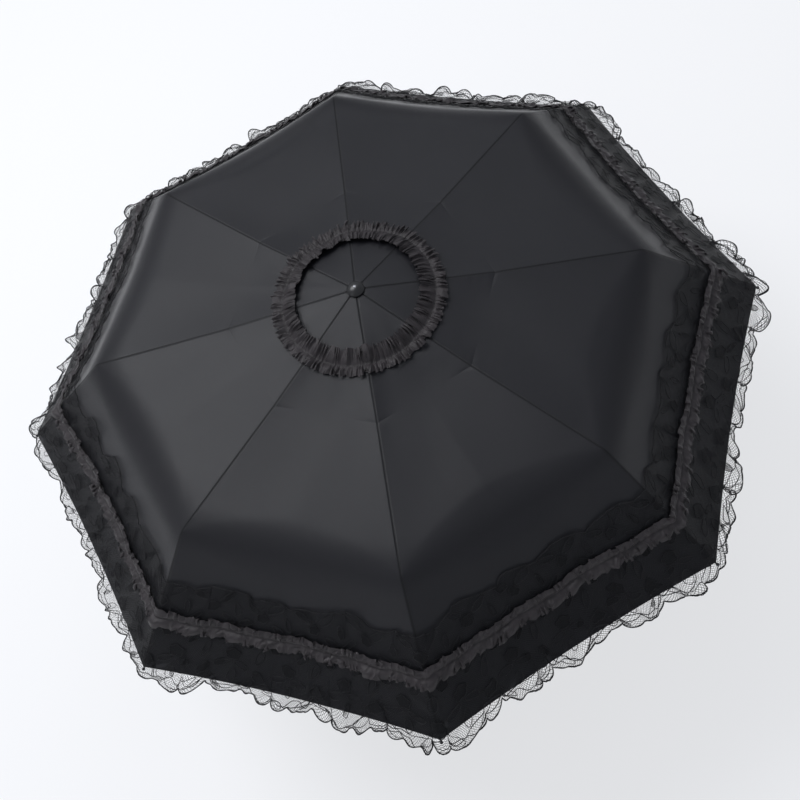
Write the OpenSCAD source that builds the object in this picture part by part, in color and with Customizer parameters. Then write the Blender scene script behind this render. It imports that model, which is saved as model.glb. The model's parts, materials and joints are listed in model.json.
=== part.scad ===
// Folding lace parasol, shown open.
// The axis of the shaft is Z. Z = 0 is the bottom of the handle.
// Rib 1 points along +Y and the others follow clockwise, seen from above.
// Each rib folds in three: top rib, middle rib and tip rib. Every rib piece is drawn in its own
// frame, X outwards along the piece, Z towards the cover, and then set in place.

/* [Handle] */
// Radius of the cylindrical grip
grip_r = 14; // [11:0.5:17]
// Height of the grip
grip_h = 62; // [50:1:78]
// Length of each rounded end of the grip
grip_end = 6; // [3:0.5:8]
// Radius of the metal collar above the grip
collar_r = 9; // [8:0.5:10.5]
// Height of the metal collar
collar_h = 8; // [5:0.5:12]
// Radius of the disc let into the bottom of the grip
end_disc_r = 8; // [6:0.5:9]
// Thickness of that disc
end_disc_t = 2; // [1:0.5:3]
// Depth of grip left solid below the shaft
grip_floor = 8; // [5:0.5:12]
// Radius of the cross pin that holds the shaft in the grip
cross_pin_r = 1; // [0.7:0.1:1.3]

/* [Shaft] */
// Outer radius of the lower tube
lower_r = 3.6; // [3:0.1:4.3]
// Gap all round between one tube and the next
tube_gap = 0.2; // [0.15:0.05:0.3]
// Wall of all three tubes
tube_wall = 0.5; // [0.4:0.05:0.6]
// Length of the lower tube
lower_len = 230; // [190:1:276]
// Length of the middle tube
middle_len = 166; // [138:1:200]
// Length of the upper tube
upper_len = 203.5; // [190:0.5:245]
// How far each pair of tubes still overlaps when the shaft is pulled out
tube_overlap = 20; // [14:1:30]
// Height of the plastic bush on the top end of the two inner tubes
bush_h = 3; // [2:0.5:5]

/* [Crown] */
// Rim of the crown block outside its pivot wire's circle
crown_rim = 2.6; // [1.8:0.1:3.6]
// Height of the crown block above its pivot wire
crown_above = 3.5; // [3:0.1:5]
// Depth of the crown block below its pivot wire
crown_below = 4; // [3:0.1:5]
// Radius of the circle on which the ribs pivot
crown_pivot_r = 9; // [8.8:0.1:10.8]
// Radius of the cap on top
cap_r = 10.4; // [8:0.1:12]
// Height of the cap's straight rim
cap_rim = 2; // [1:0.1:4]
// Height of the cap's dome
cap_dome = 5.5; // [4:0.1:8]
// Length of the cap's stem inside the tube
cap_stem = 12; // [8:1:18]
// Radius of the metal pin in the cap
cap_pin_r = 1.6; // [1:0.1:2.4]

/* [Runner] */
// Rim of the stretchers' flange outside its pivot wire's circle
flange_rim = 1.6; // [1.2:0.1:2]
// Half height of the flange
flange_half = 2; // [1.6:0.1:2.4]
// Radius of the circle on which the stretchers pivot
runner_pivot_r = 11; // [10:0.1:13.2]
// Radius of the barrel
barrel_r = 7.5; // [6.6:0.1:8]
// Length of the barrel below the pivot wire
barrel_len = 34; // [24:1:42]
// Radius of the bead at the bottom of the barrel
bead_r = 9.5; // [8:0.1:10.5]
// Height of that bead
bead_h = 4; // [2:0.5:6]

/* [Ribs] */
// Number of ribs
rib_count = 8; // [8:1:8]
// Length of a top rib, pivot to pivot
top_len = 153; // [127:1:184]
// Length of a middle rib, pivot to pivot
mid_len = 172; // [143:1:207]
// Length of a tip rib, pivot to tip
tip_len = 204; // [170:1:245]
// Slope of the top ribs, degrees down
top_slope = 9.5; // [7:0.5:12]
// Slope of the middle ribs, degrees down
mid_slope = 5.5; // [4:0.5:8]
// Slope of the tip ribs, degrees down
tip_slope = 43; // [36:1:50]
// Height of the top and middle rib channels
rib_h = 4.4; // [4.2:0.1:5.3]
// Wall of those channels
rib_wall = 0.6; // [0.5:0.05:0.7]
// Height of the first folding pivot above the top rib's centre line
hinge_lift = 2.6; // [2.4:0.1:3]
// Depth of the middle rib's centre line below its pivot
mid_drop = 2.9; // [2.7:0.1:3.3]
// Radius of the round wire of a tip rib
tip_wire_r = 1.1; // [0.9:0.05:1.2]
// Radius of the ball on each tip
tip_ball_r = 2; // [1.6:0.1:2]

/* [Linkage] */
// Distance from the crown pivot to the stretcher's pivot on the top rib
link_at = 78; // [66:1:92]
// Rise of the stretchers, degrees
stretcher_rise = 30; // [26:1:34]
// Height of a stretcher
stretcher_h = 3; // [2.6:0.1:3.4]
// Wall of a stretcher
stretcher_wall = 0.5; // [0.4:0.05:0.6]
// Distance from the stretcher's outer pivot to the pull rod's pivot
rod_set = 15.4; // [13:0.1:18]
// Thickness of the square pull rod
rod_t = 1.8; // [1.5:0.1:2.1]
// Length of the middle rib's tail behind its pivot
tail_len = 14; // [12:0.5:17]
// Drop of the pull rod's pivot below the tail's own line
tail_drop = 1.5; // [1:0.1:2]

/* [Cover] */
// Thickness of the cloth, measured upright
cloth_t = 0.8; // [0.6:0.1:1]
// Height of the cloth over the first folding pivot
hinge_cover = 2.2; // [2:0.1:3]
// Height of the cloth over the knee pivot
knee_cover = 3.8; // [3.6:0.1:5]
// Height of the cloth over the tip wire
tip_cover = 1.5; // [1.4:0.1:2]
// Length of tip wire that shows beyond the hem
tip_bare = 4; // [3:0.5:8]
// Start of the lace, measured down the skirt from the knee
lace_from = 70; // [40:1:90]
// Reach of the lace beyond the hem
lace_over = 22; // [15:1:30]
// Thickness of the lace band, measured upright
lace_t = 1.2; // [1:0.1:2]
// Start of the skirt's pleated ribbon, measured down the skirt from the knee
ribbon_from = 110; // [95:1:120]
// Width of both pleated ribbons
ribbon_w = 30; // [22:1:36]
// Thickness of both pleated ribbons, measured upright
ribbon_t = 4; // [3:0.5:6]
// Radius at which the crown's pleated ribbon starts
crown_ribbon_r = 72; // [60:1:90]

/* [Hidden] */
$fn = 48;
RIBS = [1 : rib_count];

// clearances
seat_gap = 0.02;     // between pieces that are fixed to each other
pin_gap = 0.05;      // round a pin or pivot wire
slide_gap = 0.2;     // between the runner and the shaft
slot_gap = 0.4;      // each side of a plate that swings in a slot
rod_gap = 0.3;       // each side of the pull rod, between the tail's cheeks
web_gap = 0.1;       // between the pull rod and the web of the stretcher
nest_gap = 0.2;      // each side of what folds into a rib
cloth_gap = 0.3;     // between a soft piece and the one under it
seam_gap = 0.1;      // each side of a seam

// small hardware
pivot_wire_r = 0.6;
pin_r = 0.5;
rivet_head_r = 1;
rivet_head_t = 0.4;
eye_t = 1.6;         // flattened ends of the top ribs and stretchers
eye_r = 1.5;
tip_eye_t = 2;
fold_wire_r = 0.35;

// the three tubes, each round the one before
middle_r = lower_r + tube_gap + tube_wall;
upper_r = middle_r + tube_gap + tube_wall;

// widths across a rib, from the pull rod outwards
tail_wall = 0.6;
tail_gap = rod_t + 2 * rod_gap;                    // between the two cheeks of the tail
stretcher_w = rod_t + 2 * slot_gap + 2 * stretcher_wall;
rib_inner = max(stretcher_w, tail_gap + 2 * tail_wall) + 2 * nest_gap;
rib_w = rib_inner + 2 * rib_wall;

// the discs that hold the pivot wires
crown_block_r = crown_pivot_r + crown_rim;
flange_r = runner_pivot_r + flange_rim;
top_slot_from = crown_pivot_r - rib_h / 2 - 0.3;
stretcher_slot_from = runner_pivot_r - eye_r - 1.1;

// the shaft, from the bottom up
lower_z = grip_floor;
middle_z = lower_z + lower_len - tube_overlap + 4;
upper_z = middle_z + middle_len - tube_overlap - 3;
shaft_top = upper_z + upper_len;
crown_z = shaft_top - crown_above;

// the linkage in a rib's upright plane: radius and height of each pivot
hinge_r = crown_pivot_r + top_len * cos(top_slope) + hinge_lift * sin(top_slope);
hinge_z = crown_z - top_len * sin(top_slope) + hinge_lift * cos(top_slope);
knee_r = hinge_r + mid_len * cos(mid_slope) - mid_drop * sin(mid_slope);
knee_z = hinge_z - mid_len * sin(mid_slope) - mid_drop * cos(mid_slope);
link_r = crown_pivot_r + link_at * cos(top_slope);
link_z = crown_z - link_at * sin(top_slope);
stretcher_len = (link_r - runner_pivot_r) / cos(stretcher_rise);
runner_z = link_z - stretcher_len * sin(stretcher_rise);
rod_in_drop = max(0, rod_t / 2 + web_gap - (stretcher_h / 2 - stretcher_wall));
rod_in_r = link_r - rod_set * cos(stretcher_rise) + rod_in_drop * sin(stretcher_rise);
rod_in_z = link_z - rod_set * sin(stretcher_rise) - rod_in_drop * cos(stretcher_rise);
rod_out_r = hinge_r - tail_len * cos(mid_slope) - tail_drop * sin(mid_slope);
rod_out_z = hinge_z + tail_len * sin(mid_slope) - tail_drop * cos(mid_slope);
rod_len = norm([rod_out_r - rod_in_r, rod_out_z - rod_in_z]);
rod_slope = atan2(rod_in_z - rod_out_z, rod_out_r - rod_in_r);

// sections of the rib pieces
rib_start = crown_block_r - crown_pivot_r + 3.4;   // where the top rib's channel begins
rod_way_from = top_len - 37;                       // the pull rod needs the top rib's web away from here
channel_end_gap = 3.3;                             // from the first folding pivot to either channel
neck_len = 14;                                     // flat inner end of a stretcher
mouth_r = pivot_wire_r + 0.15;                     // the hook that rests on the runner's wire

// the runner's catch
catch_top = runner_z - barrel_len - 0.5;
catch_len = 26;
catch_tooth = 2;
catch_w = 1.6;
catch_side = 67.5;                                 // direction of the catch, between ribs 1 and 2

// the cloth's underside above each rib, as radius and height
half_turn = 180 / rib_count;
bisector = (mid_slope + tip_slope) / 2;
tip_dir = [cos(tip_slope), -sin(tip_slope)];
tip_up = [sin(tip_slope), cos(tip_slope)];
knee_pt = [knee_r, knee_z] + knee_cover * [sin(bisector), cos(bisector)];
hem_pt = [knee_r, knee_z] + (tip_len - tip_bare) * tip_dir + tip_cover * tip_up;
skirt_len = norm(hem_pt - knee_pt);
skirt_dir = (hem_pt - knee_pt) / skirt_len;
hinge_pt = [hinge_r, hinge_z] + hinge_cover * [sin(top_slope), cos(top_slope)];
crown_in_pt = [upper_r + 0.4, shaft_top + cloth_gap];
crown_out_pt = [crown_block_r + 0.4, shaft_top + cloth_gap];
cap_z = shaft_top + cloth_gap + cloth_t + cloth_gap;

function rib_turn(i) = 90 - 360 / rib_count * (i - 1);
function lift(points, up) = [for (p = points) p + [0, up]];
function skirt_pt(s) = knee_pt + s * skirt_dir;
function top_pt(r) = crown_out_pt + (hinge_pt - crown_out_pt) * (r - crown_out_pt.x) / (hinge_pt.x - crown_out_pt.x);

// Puts a rib piece in rib i's plane, its pivot at radius r and height z, pointing down by slope.
module at_rib(i, r, z, slope)
    rotate([0, 0, rib_turn(i)]) translate([r, 0, z]) rotate([0, slope, 0]) children();

// An outline drawn in the rib's plane, t thick, at distance side from that plane.
module plate(t, side = 0)
    translate([0, side, 0]) rotate([90, 0, 0]) linear_extrude(t, center = true) children();

// A round bar across the rib's plane.
module cross_bar(r, w)
    rotate([90, 0, 0]) cylinder(r = r, h = w, center = true);

// A channel that is open underneath, from x0 to x1, centred on the X axis.
module channel(x0, x1, w, h, wall)
    difference() {
        translate([x0, -w / 2, -h / 2]) cube([x1 - x0, w, h]);
        translate([x0 - 1, wall - w / 2, -h / 2 - 1]) cube([x1 - x0 + 2, w - 2 * wall, h - wall + 1]);
    }

// A rivet across the rib's plane, with a head on each side of what it holds.
module rivet(grip) {
    cross_bar(pin_r - seat_gap, grip + 2 * seat_gap);
    for (side = [-1, 1])
        translate([0, side * ((grip + rivet_head_t) / 2 + seat_gap), 0])
            cross_bar(rivet_head_r, rivet_head_t);
}

// A tube standing on z.
module tube(r, wall, z, h)
    translate([0, 0, z]) difference() {
        cylinder(r = r, h = h);
        translate([0, 0, -1]) cylinder(r = r - wall, h = h + 2);
    }

// A disc that carries a pivot wire: slots for the plates, and a groove for the wire.
module slotted_disc(r, below, above, wire_circle_r, slot_from)
    difference() {
        translate([0, 0, -below]) cylinder(r = r, h = below + above);
        for (i = RIBS)
            rotate([0, 0, rib_turn(i)])
                translate([slot_from, -eye_t / 2 - slot_gap, -below - 1])
                    cube([r, eye_t + 2 * slot_gap, below + above + 2]);
        rotate_extrude() translate([wire_circle_r, 0]) circle(pivot_wire_r + pin_gap);
        rotate_extrude()
            translate([wire_circle_r, -pivot_wire_r - pin_gap]) square([r, 2 * (pivot_wire_r + pin_gap)]);
    }

module pivot_wire(circle_r)
    rotate_extrude() translate([circle_r, 0]) circle(pivot_wire_r);

// ---- rib pieces ----

module top_rib(i)
    color("gainsboro") at_rib(i, crown_pivot_r, crown_z, top_slope) {
        difference() {
            union() {
                channel(rib_start, top_len - channel_end_gap, rib_w, rib_h, rib_wall);
                plate(eye_t) {
                    circle(rib_h / 2);
                    translate([0, -rib_h / 2]) square([rib_start + 6, rib_h - rib_wall / 2]);
                }
                for (side = [-1, 1])
                    plate(rib_wall, side * (rib_w - rib_wall) / 2) hull() {
                        translate([top_len, hinge_lift]) circle(eye_r);
                        translate([top_len - 9, -rib_h / 2]) square([6, rib_h]);
                    }
            }
            translate([rod_way_from, -rib_inner / 2, 0]) cube([top_len, rib_inner, rib_h]);
            cross_bar(pivot_wire_r + 0.2, rib_w);
            translate([link_at, 0, 0]) cross_bar(pin_r, 2 * rib_w);
            translate([top_len, 0, hinge_lift]) cross_bar(pin_r, 2 * rib_w);
        }
        translate([link_at, 0, 0]) rivet(rib_w);
        // one short rivet a side, so that the pull rod can pass between them
        translate([top_len, 0, hinge_lift]) difference() {
            rivet(rib_w);
            cross_bar(2 * pin_r, tail_gap);
        }
    }

// Cheek of the tail: from the pull rod's pivot, past the folding pivot, and into the channel.
module tail_cheek() {
    hull() {
        circle(eye_r);
        translate([-tail_len, -tail_drop]) circle(eye_r - 0.2);
    }
    hull() {
        circle(eye_r);
        translate([channel_end_gap + 1, -mid_drop - 0.2]) square([6, rib_h / 2 - rib_wall / 2 + 0.2]);
    }
}

module mid_rib(i)
    color("gainsboro") at_rib(i, hinge_r, hinge_z, mid_slope) {
        difference() {
            union() {
                translate([0, 0, -mid_drop])
                    channel(channel_end_gap, mid_len + eye_r, rib_w, rib_h, rib_wall);
                for (side = [-1, 1])
                    plate(tail_wall, side * (tail_gap + tail_wall) / 2) tail_cheek();
            }
            cross_bar(pin_r + pin_gap, 2 * rib_w);
            translate([mid_len, 0, -mid_drop]) cross_bar(pin_r, 2 * rib_w);
        }
        // dimples that the pull rod's outer eye turns on
        for (side = [-1, 1])
            translate([-tail_len, side * (rod_t / 2 + pin_gap + tail_gap / 2) / 2, -tail_drop])
                cross_bar(pin_r, tail_gap / 2 - rod_t / 2 - pin_gap);
        translate([mid_len, 0, -mid_drop]) rivet(rib_w);
        // the thin wire that folds the tip rib, lying against the channel's web
        translate([channel_end_gap + 8, rib_inner / 2 - fold_wire_r - 0.1,
                   -mid_drop + rib_h / 2 - rib_wall - fold_wire_r - seat_gap])
            rotate([0, 90, 0]) cylinder(r = fold_wire_r, h = mid_len - channel_end_gap - 12);
    }

module tip_rib(i)
    color("silver") at_rib(i, knee_r, knee_z, tip_slope) {
        difference() {
            union() {
                plate(tip_eye_t) {
                    circle(eye_r);
                    translate([0, -tip_wire_r]) square([6, 2 * tip_wire_r]);
                }
                translate([4, 0, 0]) rotate([0, 90, 0]) cylinder(r = tip_wire_r, h = tip_len - 4);
            }
            cross_bar(pin_r + pin_gap, 2 * rib_w);
        }
        translate([tip_len, 0, 0]) difference() {
            sphere(tip_ball_r);
            translate([-2 * tip_ball_r, 0, 0])
                rotate([0, 90, 0]) cylinder(r = tip_wire_r + seat_gap, h = 2 * tip_ball_r + seat_gap);
        }
    }

// The stretcher's inner end is a hook that lies on the runner's wire and is open towards the cover.
module stretcher_hook()
    difference() {
        union() {
            circle(eye_r);
            translate([0, -stretcher_h / 2]) square([neck_len + 4, stretcher_h - stretcher_wall / 2]);
        }
        circle(mouth_r);
        polygon([[0, 0], [-2.6, 1.5], [-2.6, 6], [9, 6], [9, 1.5], [6.8, 0.85], [3.6, -0.05], [0.9, -0.65]]);
    }

module stretcher(i)
    color("silver") at_rib(i, runner_pivot_r, runner_z, -stretcher_rise) {
        difference() {
            union() {
                channel(neck_len, stretcher_len, stretcher_w, stretcher_h, stretcher_wall);
                plate(eye_t) stretcher_hook();
                for (side = [-1, 1])
                    plate(stretcher_wall, side * (stretcher_w - stretcher_wall) / 2)
                        translate([stretcher_len, 0]) circle(stretcher_h / 2);
            }
            translate([stretcher_len, 0, 0]) cross_bar(pin_r + pin_gap, 2 * stretcher_w);
            translate([stretcher_len - rod_set, 0, -rod_in_drop]) cross_bar(pin_r, 2 * stretcher_w);
        }
        translate([stretcher_len - rod_set, 0, -rod_in_drop]) cross_bar(pin_r - seat_gap, stretcher_w);
    }

module pull_rod(i)
    color("silver") at_rib(i, rod_in_r, rod_in_z, rod_slope)
        difference() {
            plate(rod_t) {
                circle(rod_t / 2);
                translate([0, -rod_t / 2]) square([rod_len, rod_t]);
                translate([rod_len, 0]) circle(rod_t / 2);
            }
            cross_bar(pin_r + pin_gap, 2 * rod_t);
            translate([rod_len, 0, 0]) cross_bar(pin_r + pin_gap, 2 * rod_t);
        }

// ---- shaft and handle ----

module handle_grip()
    color("dimgray") difference() {
        rotate_extrude() polygon([
            [0, 0], [grip_r - grip_end / 2, 0], [grip_r, grip_end], [grip_r, grip_h - grip_end],
            [collar_r + 0.5, grip_h], [0, grip_h]]);
        translate([0, 0, grip_floor]) cylinder(r = lower_r + seat_gap, h = grip_h);
        translate([0, 0, -1]) cylinder(r = end_disc_r + seat_gap, h = end_disc_t + 1);
        translate([0, 0, grip_h / 2]) cross_bar(cross_pin_r + seat_gap, 4 * grip_r);
    }

module end_disc()
    color("silver") cylinder(r = end_disc_r, h = end_disc_t);

module cross_pin()
    color("silver") translate([0, 0, grip_h / 2]) cross_bar(cross_pin_r, 2 * grip_r - 2);

module handle_collar()
    color("silver") translate([0, 0, grip_h]) difference() {
        union() {
            cylinder(r = collar_r, h = collar_h - 2);
            translate([0, 0, collar_h - 2]) cylinder(r1 = collar_r, r2 = collar_r - 2, h = 2);
        }
        translate([0, 0, -1]) cylinder(r = lower_r + seat_gap, h = collar_h + 2);
    }

module lower_tube()
    color("lightgray") difference() {
        tube(lower_r, tube_wall, lower_z, lower_len);
        translate([0, 0, grip_h / 2]) cross_bar(cross_pin_r + seat_gap, 4 * lower_r);
    }

module lower_bush()
    color("white") translate([0, 0, lower_z + lower_len]) {
        cylinder(r = middle_r - tube_wall - pin_gap, h = bush_h);
        translate([0, 0, -6]) cylinder(r = lower_r - tube_wall - seat_gap, h = 6);
    }

module middle_tube()
    color("lightgray") tube(middle_r, tube_wall, middle_z, middle_len);

module middle_bush()
    color("white") tube(upper_r - tube_wall - pin_gap, upper_r - middle_r - pin_gap,
                        middle_z + middle_len, bush_h);

module upper_tube()
    color("lightgray") difference() {
        tube(upper_r, tube_wall, upper_z, upper_len);
        rotate([0, 0, catch_side])
            translate([0, -catch_w / 2 - 0.3, catch_top - catch_len - 1])
                cube([2 * upper_r, catch_w + 0.6, catch_len + 2]);
    }

// A springy strip in a slot of the upper tube, with a tooth whose flat top holds the open runner.
module runner_catch()
    color("silver") rotate([0, 0, catch_side]) plate(catch_w) polygon([
        [upper_r - 0.45, catch_top - catch_len], [upper_r - 0.05, catch_top - catch_len],
        [upper_r - 0.05, catch_top - 8], [upper_r + catch_tooth, catch_top - 1.5],
        [upper_r + catch_tooth, catch_top], [upper_r - 0.45, catch_top]]);

module crown_block()
    color("dimgray") translate([0, 0, crown_z]) difference() {
        slotted_disc(crown_block_r, crown_below, crown_above, crown_pivot_r, top_slot_from);
        translate([0, 0, -crown_below - 1]) cylinder(r = upper_r + seat_gap, h = crown_below + crown_above + 2);
    }

module crown_wire()
    color("silver") translate([0, 0, crown_z]) pivot_wire(crown_pivot_r);

module runner()
    color("dimgray") translate([0, 0, runner_z]) difference() {
        union() {
            slotted_disc(flange_r, flange_half, flange_half, runner_pivot_r, stretcher_slot_from);
            translate([0, 0, -barrel_len]) cylinder(r = barrel_r, h = barrel_len);
            translate([0, 0, -barrel_len]) cylinder(r = bead_r, h = bead_h);
        }
        translate([0, 0, -barrel_len - 1]) cylinder(r = upper_r + slide_gap, h = barrel_len + flange_half + 2);
    }

module runner_wire()
    color("silver") translate([0, 0, runner_z]) pivot_wire(runner_pivot_r);

module finial_cap()
    color([0.1, 0.1, 0.1]) translate([0, 0, cap_z]) difference() {
        rotate_extrude() {
            square([cap_r, cap_rim]);
            intersection() {
                translate([0, cap_rim]) square([cap_r, cap_dome]);
                translate([0, cap_rim + cap_dome - (cap_r * cap_r + cap_dome * cap_dome) / (2 * cap_dome)])
                    circle((cap_r * cap_r + cap_dome * cap_dome) / (2 * cap_dome), $fn = 96);
            }
            translate([0, -cap_stem]) square([upper_r - tube_wall - seat_gap, cap_stem]);
        }
        translate([0, 0, -cap_stem - 1]) cylinder(r = cap_pin_r / 2 + seat_gap, h = cap_stem + 20);
        translate([0, 0, cap_rim + cap_dome - 1]) cylinder(r = cap_pin_r + seat_gap, h = 5);
    }

module finial_pin()
    color("silver") translate([0, 0, cap_z]) {
        translate([0, 0, -cap_stem]) cylinder(r = cap_pin_r / 2, h = cap_stem + cap_rim + cap_dome);
        translate([0, 0, cap_rim + cap_dome - 1]) cylinder(r = cap_pin_r, h = 1.2);
    }

// ---- cover ----

// Between every two ribs, a thin panel over the stations [radius, height]. Each station is level
// and straight from rib to rib, and the panel is t high everywhere.
module panels(stations, t) {
    n = len(stations);
    points = [for (s = stations)
        let (out = s.x * cos(half_turn), w = s.x * sin(half_turn) - seam_gap)
        each [[out, -w, s.y], [out, w, s.y], [out, w, s.y + t], [out, -w, s.y + t]]];
    faces = concat(
        [[0, 1, 2, 3], [4 * n - 1, 4 * n - 2, 4 * n - 3, 4 * n - 4]],
        [for (k = [0 : n - 2], e = [0 : 3])
            let (f = (e + 1) % 4)
            [4 * k + e, 4 * k + 4 + e, 4 * k + 4 + f, 4 * k + f]]);
    for (i = RIBS)
        rotate([0, 0, rib_turn(i) - half_turn]) polyhedron(points, faces);
}

module canopy()
    color([0.2, 0.2, 0.22]) panels([crown_in_pt, crown_out_pt, hinge_pt, knee_pt, hem_pt], cloth_t);

module lace_skirt()
    color([0.08, 0.08, 0.09])
        panels(lift([skirt_pt(lace_from), skirt_pt(skirt_len + lace_over)], cloth_t + cloth_gap), lace_t);

module hem_ribbon()
    color([0.23, 0.22, 0.22])
        panels(lift([skirt_pt(ribbon_from), skirt_pt(ribbon_from + ribbon_w)],
                    cloth_t + lace_t + 2 * cloth_gap), ribbon_t);

module crown_ribbon()
    color([0.23, 0.22, 0.22])
        panels(lift([top_pt(crown_ribbon_r), top_pt(crown_ribbon_r + ribbon_w)], cloth_t + cloth_gap), ribbon_t);

for (i = RIBS) {
    top_rib(i);
    mid_rib(i);
    tip_rib(i);
    stretcher(i);
    pull_rod(i);
}
handle_grip();
handle_collar();
end_disc();
cross_pin();
lower_tube();
lower_bush();
middle_tube();
middle_bush();
upper_tube();
crown_block();
crown_wire();
runner();
runner_wire();
runner_catch();
finial_cap();
finial_pin();
canopy();
lace_skirt();
hem_ribbon();
crown_ribbon();
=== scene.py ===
"""Lace parasol: the cloth cover, its ruffles and lace, and the finish of the frame under it."""

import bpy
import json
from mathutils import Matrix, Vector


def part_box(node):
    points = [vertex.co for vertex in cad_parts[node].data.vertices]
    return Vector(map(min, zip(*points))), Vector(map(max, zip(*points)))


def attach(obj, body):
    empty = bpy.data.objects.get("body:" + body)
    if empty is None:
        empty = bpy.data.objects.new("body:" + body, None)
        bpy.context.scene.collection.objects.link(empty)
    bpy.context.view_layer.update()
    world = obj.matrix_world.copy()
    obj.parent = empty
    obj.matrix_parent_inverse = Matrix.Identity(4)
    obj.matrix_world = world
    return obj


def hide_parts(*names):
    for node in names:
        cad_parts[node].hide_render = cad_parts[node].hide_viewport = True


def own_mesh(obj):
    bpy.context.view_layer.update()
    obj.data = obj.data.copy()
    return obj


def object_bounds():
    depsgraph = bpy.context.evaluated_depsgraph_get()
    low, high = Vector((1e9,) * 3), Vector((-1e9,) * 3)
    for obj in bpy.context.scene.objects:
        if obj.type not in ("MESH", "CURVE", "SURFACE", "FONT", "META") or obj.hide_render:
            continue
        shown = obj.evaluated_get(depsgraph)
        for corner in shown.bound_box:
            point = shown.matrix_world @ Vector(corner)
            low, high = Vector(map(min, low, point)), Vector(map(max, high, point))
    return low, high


bl_info = {
    "name": "Lace parasol",
    "version": (1, 0, 0),
    "blender": (4, 5, 0),
    "location": "3D View > Sidebar > Parasol",
    "description": "Builds the cover, ruffles, lace and finishes of a folding lace parasol",
    "category": "Add Mesh",
}

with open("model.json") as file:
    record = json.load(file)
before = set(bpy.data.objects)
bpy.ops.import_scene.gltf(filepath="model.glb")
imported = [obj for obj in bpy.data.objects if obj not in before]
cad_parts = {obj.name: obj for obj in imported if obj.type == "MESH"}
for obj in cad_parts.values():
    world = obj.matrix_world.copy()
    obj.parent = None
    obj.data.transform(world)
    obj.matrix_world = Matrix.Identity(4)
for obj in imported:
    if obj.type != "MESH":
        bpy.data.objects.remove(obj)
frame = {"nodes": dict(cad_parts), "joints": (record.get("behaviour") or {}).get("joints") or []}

import json
import math

import bpy
import numpy as np
from bpy.props import FloatProperty, FloatVectorProperty, IntProperty, PointerProperty
from mathutils import Matrix

CAD_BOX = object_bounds()
RIBS = 8
TURN = 2 * math.pi / RIBS
CHORD = 2 * math.sin(TURN / 2)  # distance between two neighbouring ribs, as a share of their radius


# ---------------------------------------------------------------- settings

def metres(name, description, default):
    return FloatProperty(name=name, description=description, default=default, min=0,
                         subtype="DISTANCE", unit="LENGTH", precision=5)


def colour(name, description, default):
    return FloatVectorProperty(name=name, description=description, default=default, size=3,
                               min=0, max=1, subtype="COLOR")


class ParasolCover(bpy.types.PropertyGroup):
    thickness: metres("Cloth thickness", "Thickness of the coated cloth", 0.0004)
    band: metres("Cloth band", "Height of the outer face above the frame's own cloth line", 0.0008)
    over_hinge: metres("Over the first fold", "Height of the cloth line over the first fold", 0.0022)
    over_knee: metres("Over the knee", "Height of the cloth line over the knee", 0.0038)
    crown_hole: metres("Crown hole", "Radius of the hole at the crown", 0.0054)
    crown_flat: metres("Crown flat", "Radius of the flat middle of the crown", 0.012)
    knee_soft: metres("Knee roundness", "Length of the rounded knee half way between ribs", 0.046)
    knee_sharp: metres("Knee roundness on a rib", "Length of the rounded knee on a rib", 0.005)
    sag: metres("Sag", "How far the roof hangs in half way between ribs", 0.0035)
    hollow: metres("Hollow", "How far the skirt is drawn in half way between ribs", 0.006)
    hem_rise: metres("Hem rise", "How far the hem is drawn up half way between ribs", 0.006)
    colour: colour("Cloth", "Colour of the coated cloth", (0.0122, 0.0122, 0.0150))


class ParasolRuffles(bpy.types.PropertyGroup):
    crown_width: metres("Crown ribbon width", "Width of the crown's ribbon", 0.031)
    skirt_width: metres("Skirt ribbon width", "Width of the skirt's ribbon", 0.025)
    crown_from: metres("Crown ribbon", "Inner radius of the crown's ribbon", 0.0725)
    skirt_from: metres("Skirt ribbon", "Start of the skirt's ribbon below the knee", 0.112)
    crown_pleats: IntProperty(name="Crown pleats", description="Pleats round the crown", default=80)
    skirt_pleats: IntProperty(name="Skirt pleats", description="Pleats round the skirt", default=208)
    thickness: metres("Ribbon thickness", "Thickness of the ribbon", 0.0004)
    colour: colour("Ribbon", "Colour of the ribbon", (0.0255, 0.0212, 0.0235))


class ParasolLace(bpy.types.PropertyGroup):
    start: metres("Lace start", "Start of the lace below the knee", 0.066)
    over: metres("Lace overhang", "Reach of the lace beyond the hem", 0.024)
    notch: metres("Scallop depth", "Depth of the lower edge's scallops", 0.019)
    gather: metres("Gather line", "Distance of the gather line below the knee", 0.121)
    scallops: IntProperty(name="Scallops", description="Scallops round each edge", default=40)
    thickness: metres("Lace thickness", "Thickness of the net", 0.0004)
    cord: metres("Border cord", "Width of the cord along the lace's edges", 0.0018)
    thread: metres("Outline thread", "Width of the thread that outlines the figures", 0.0009)
    colour: colour("Lace", "Colour of the lace", (0.0090, 0.0090, 0.0106))


class ParasolStage(bpy.types.PropertyGroup):
    floor: colour("Floor", "Colour of the floor", (0.36, 0.365, 0.38))
    glow: FloatProperty(name="Floor glow", description="Light given off by the lit floor",
                        default=0.64, min=0)
    lens: FloatProperty(name="Lens", description="Focal length", default=48.69, unit="CAMERA")
    key: FloatProperty(name="Key light", description="Power of the main light", default=52, unit="POWER")
    fill: FloatProperty(name="Fill light", description="Power of the second light", default=5, unit="POWER")
    back: FloatProperty(name="Back light", description="Power of the light behind", default=5, unit="POWER")


# ---------------------------------------------------------------- arithmetic of shapes

def pivot(joint):
    """Distance from the shaft and height of a joint of the frame."""
    x, y, z = next(j for j in frame["joints"] if j["name"] == joint)["pos_m"]
    return np.array([math.hypot(x, y), z])


def ease(x, low, high):
    """Rises smoothly from 0 at low to 1 at high: t squared times three minus two t."""
    t = np.clip((x - low) / (high - low), 0, 1)
    return t * t * (3 - 2 * t)


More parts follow.
